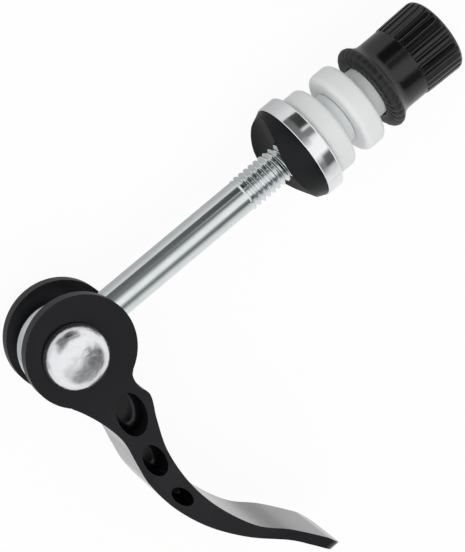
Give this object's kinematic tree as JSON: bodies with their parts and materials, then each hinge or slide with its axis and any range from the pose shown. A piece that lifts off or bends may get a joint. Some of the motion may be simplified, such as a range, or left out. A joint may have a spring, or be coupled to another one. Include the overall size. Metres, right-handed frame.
{
  "type": "quick-release seatpost clamp bolt",
  "caption": "Quick-release binder bolt with a curved cam lever, an eye-ended rod, a saddle pad in a cup, flanged bushes and a ribbed thumb nut.",
  "frame": {"origin": "the point where the pivot pin's axis crosses the rod's axis", "axes": "+X along the rod towards the thumb nut, +Z along the pivot pin, and the closed lever points along -Y; the part lies on its side as it would on a table"},
  "size_m": [0.0852, 0.0663, 0.02],
  "materials": {
    "plated_steel": "bright zinc plate",
    "pin_steel": "polished",
    "lever_black": "satin black",
    "pad_black": "moulded",
    "cup_chrome": "polished",
    "bush_white": "natural moulded",
    "nut_black": "satin moulded"
  },
  "bodies": {
    "rod": {"eye_bolt": "plated_steel"},
    "lever": {"cam_lever": "lever_black", "pivot_pin": "pin_steel"},
    "outer_bush": {"outer_bush": "bush_white"},
    "nut": {"thumb_nut": "nut_black"},
    "inner_bush": {"inner_bush": "bush_white"},
    "cup": {"cup_ring": "cup_chrome"},
    "pad": {"saddle_pad": "pad_black"}
  },
  "joints": [
    {"name": "lever_pivot", "type": "hinge", "parent": "rod", "child": "lever", "pos_m": [0, 0, 0], "axis": [0, 0, 1], "range_deg": [-180, 8]},
    {"name": "nut_travel", "type": "slide", "parent": "rod", "child": "outer_bush", "axis": [-1, 0, 0], "range_m": [-0.006, 0.01]},
    {"name": "nut_turn", "type": "hinge", "parent": "outer_bush", "child": "nut", "pos_m": [0.07, 0, 0], "axis": [-1, 0, 0], "range_deg": [-2160, 3600]},
    {"name": "inner_bush_slide", "type": "slide", "parent": "outer_bush", "child": "inner_bush", "axis": [-1, 0, 0], "range_m": [0, 0.007]},
    {"name": "cup_slide", "type": "slide", "parent": "inner_bush", "child": "cup", "axis": [-1, 0, 0], "range_m": [0, 0.015]},
    {"name": "pad_turn", "type": "hinge", "parent": "cup", "child": "pad", "pos_m": [0.047, 0, 0], "axis": [1, 0, 0], "continuous": true}
  ],
  "couplings": [
    {"joint": "nut_turn", "follows": "nut_travel", "rad_per_m": 6283.2}
  ]
}
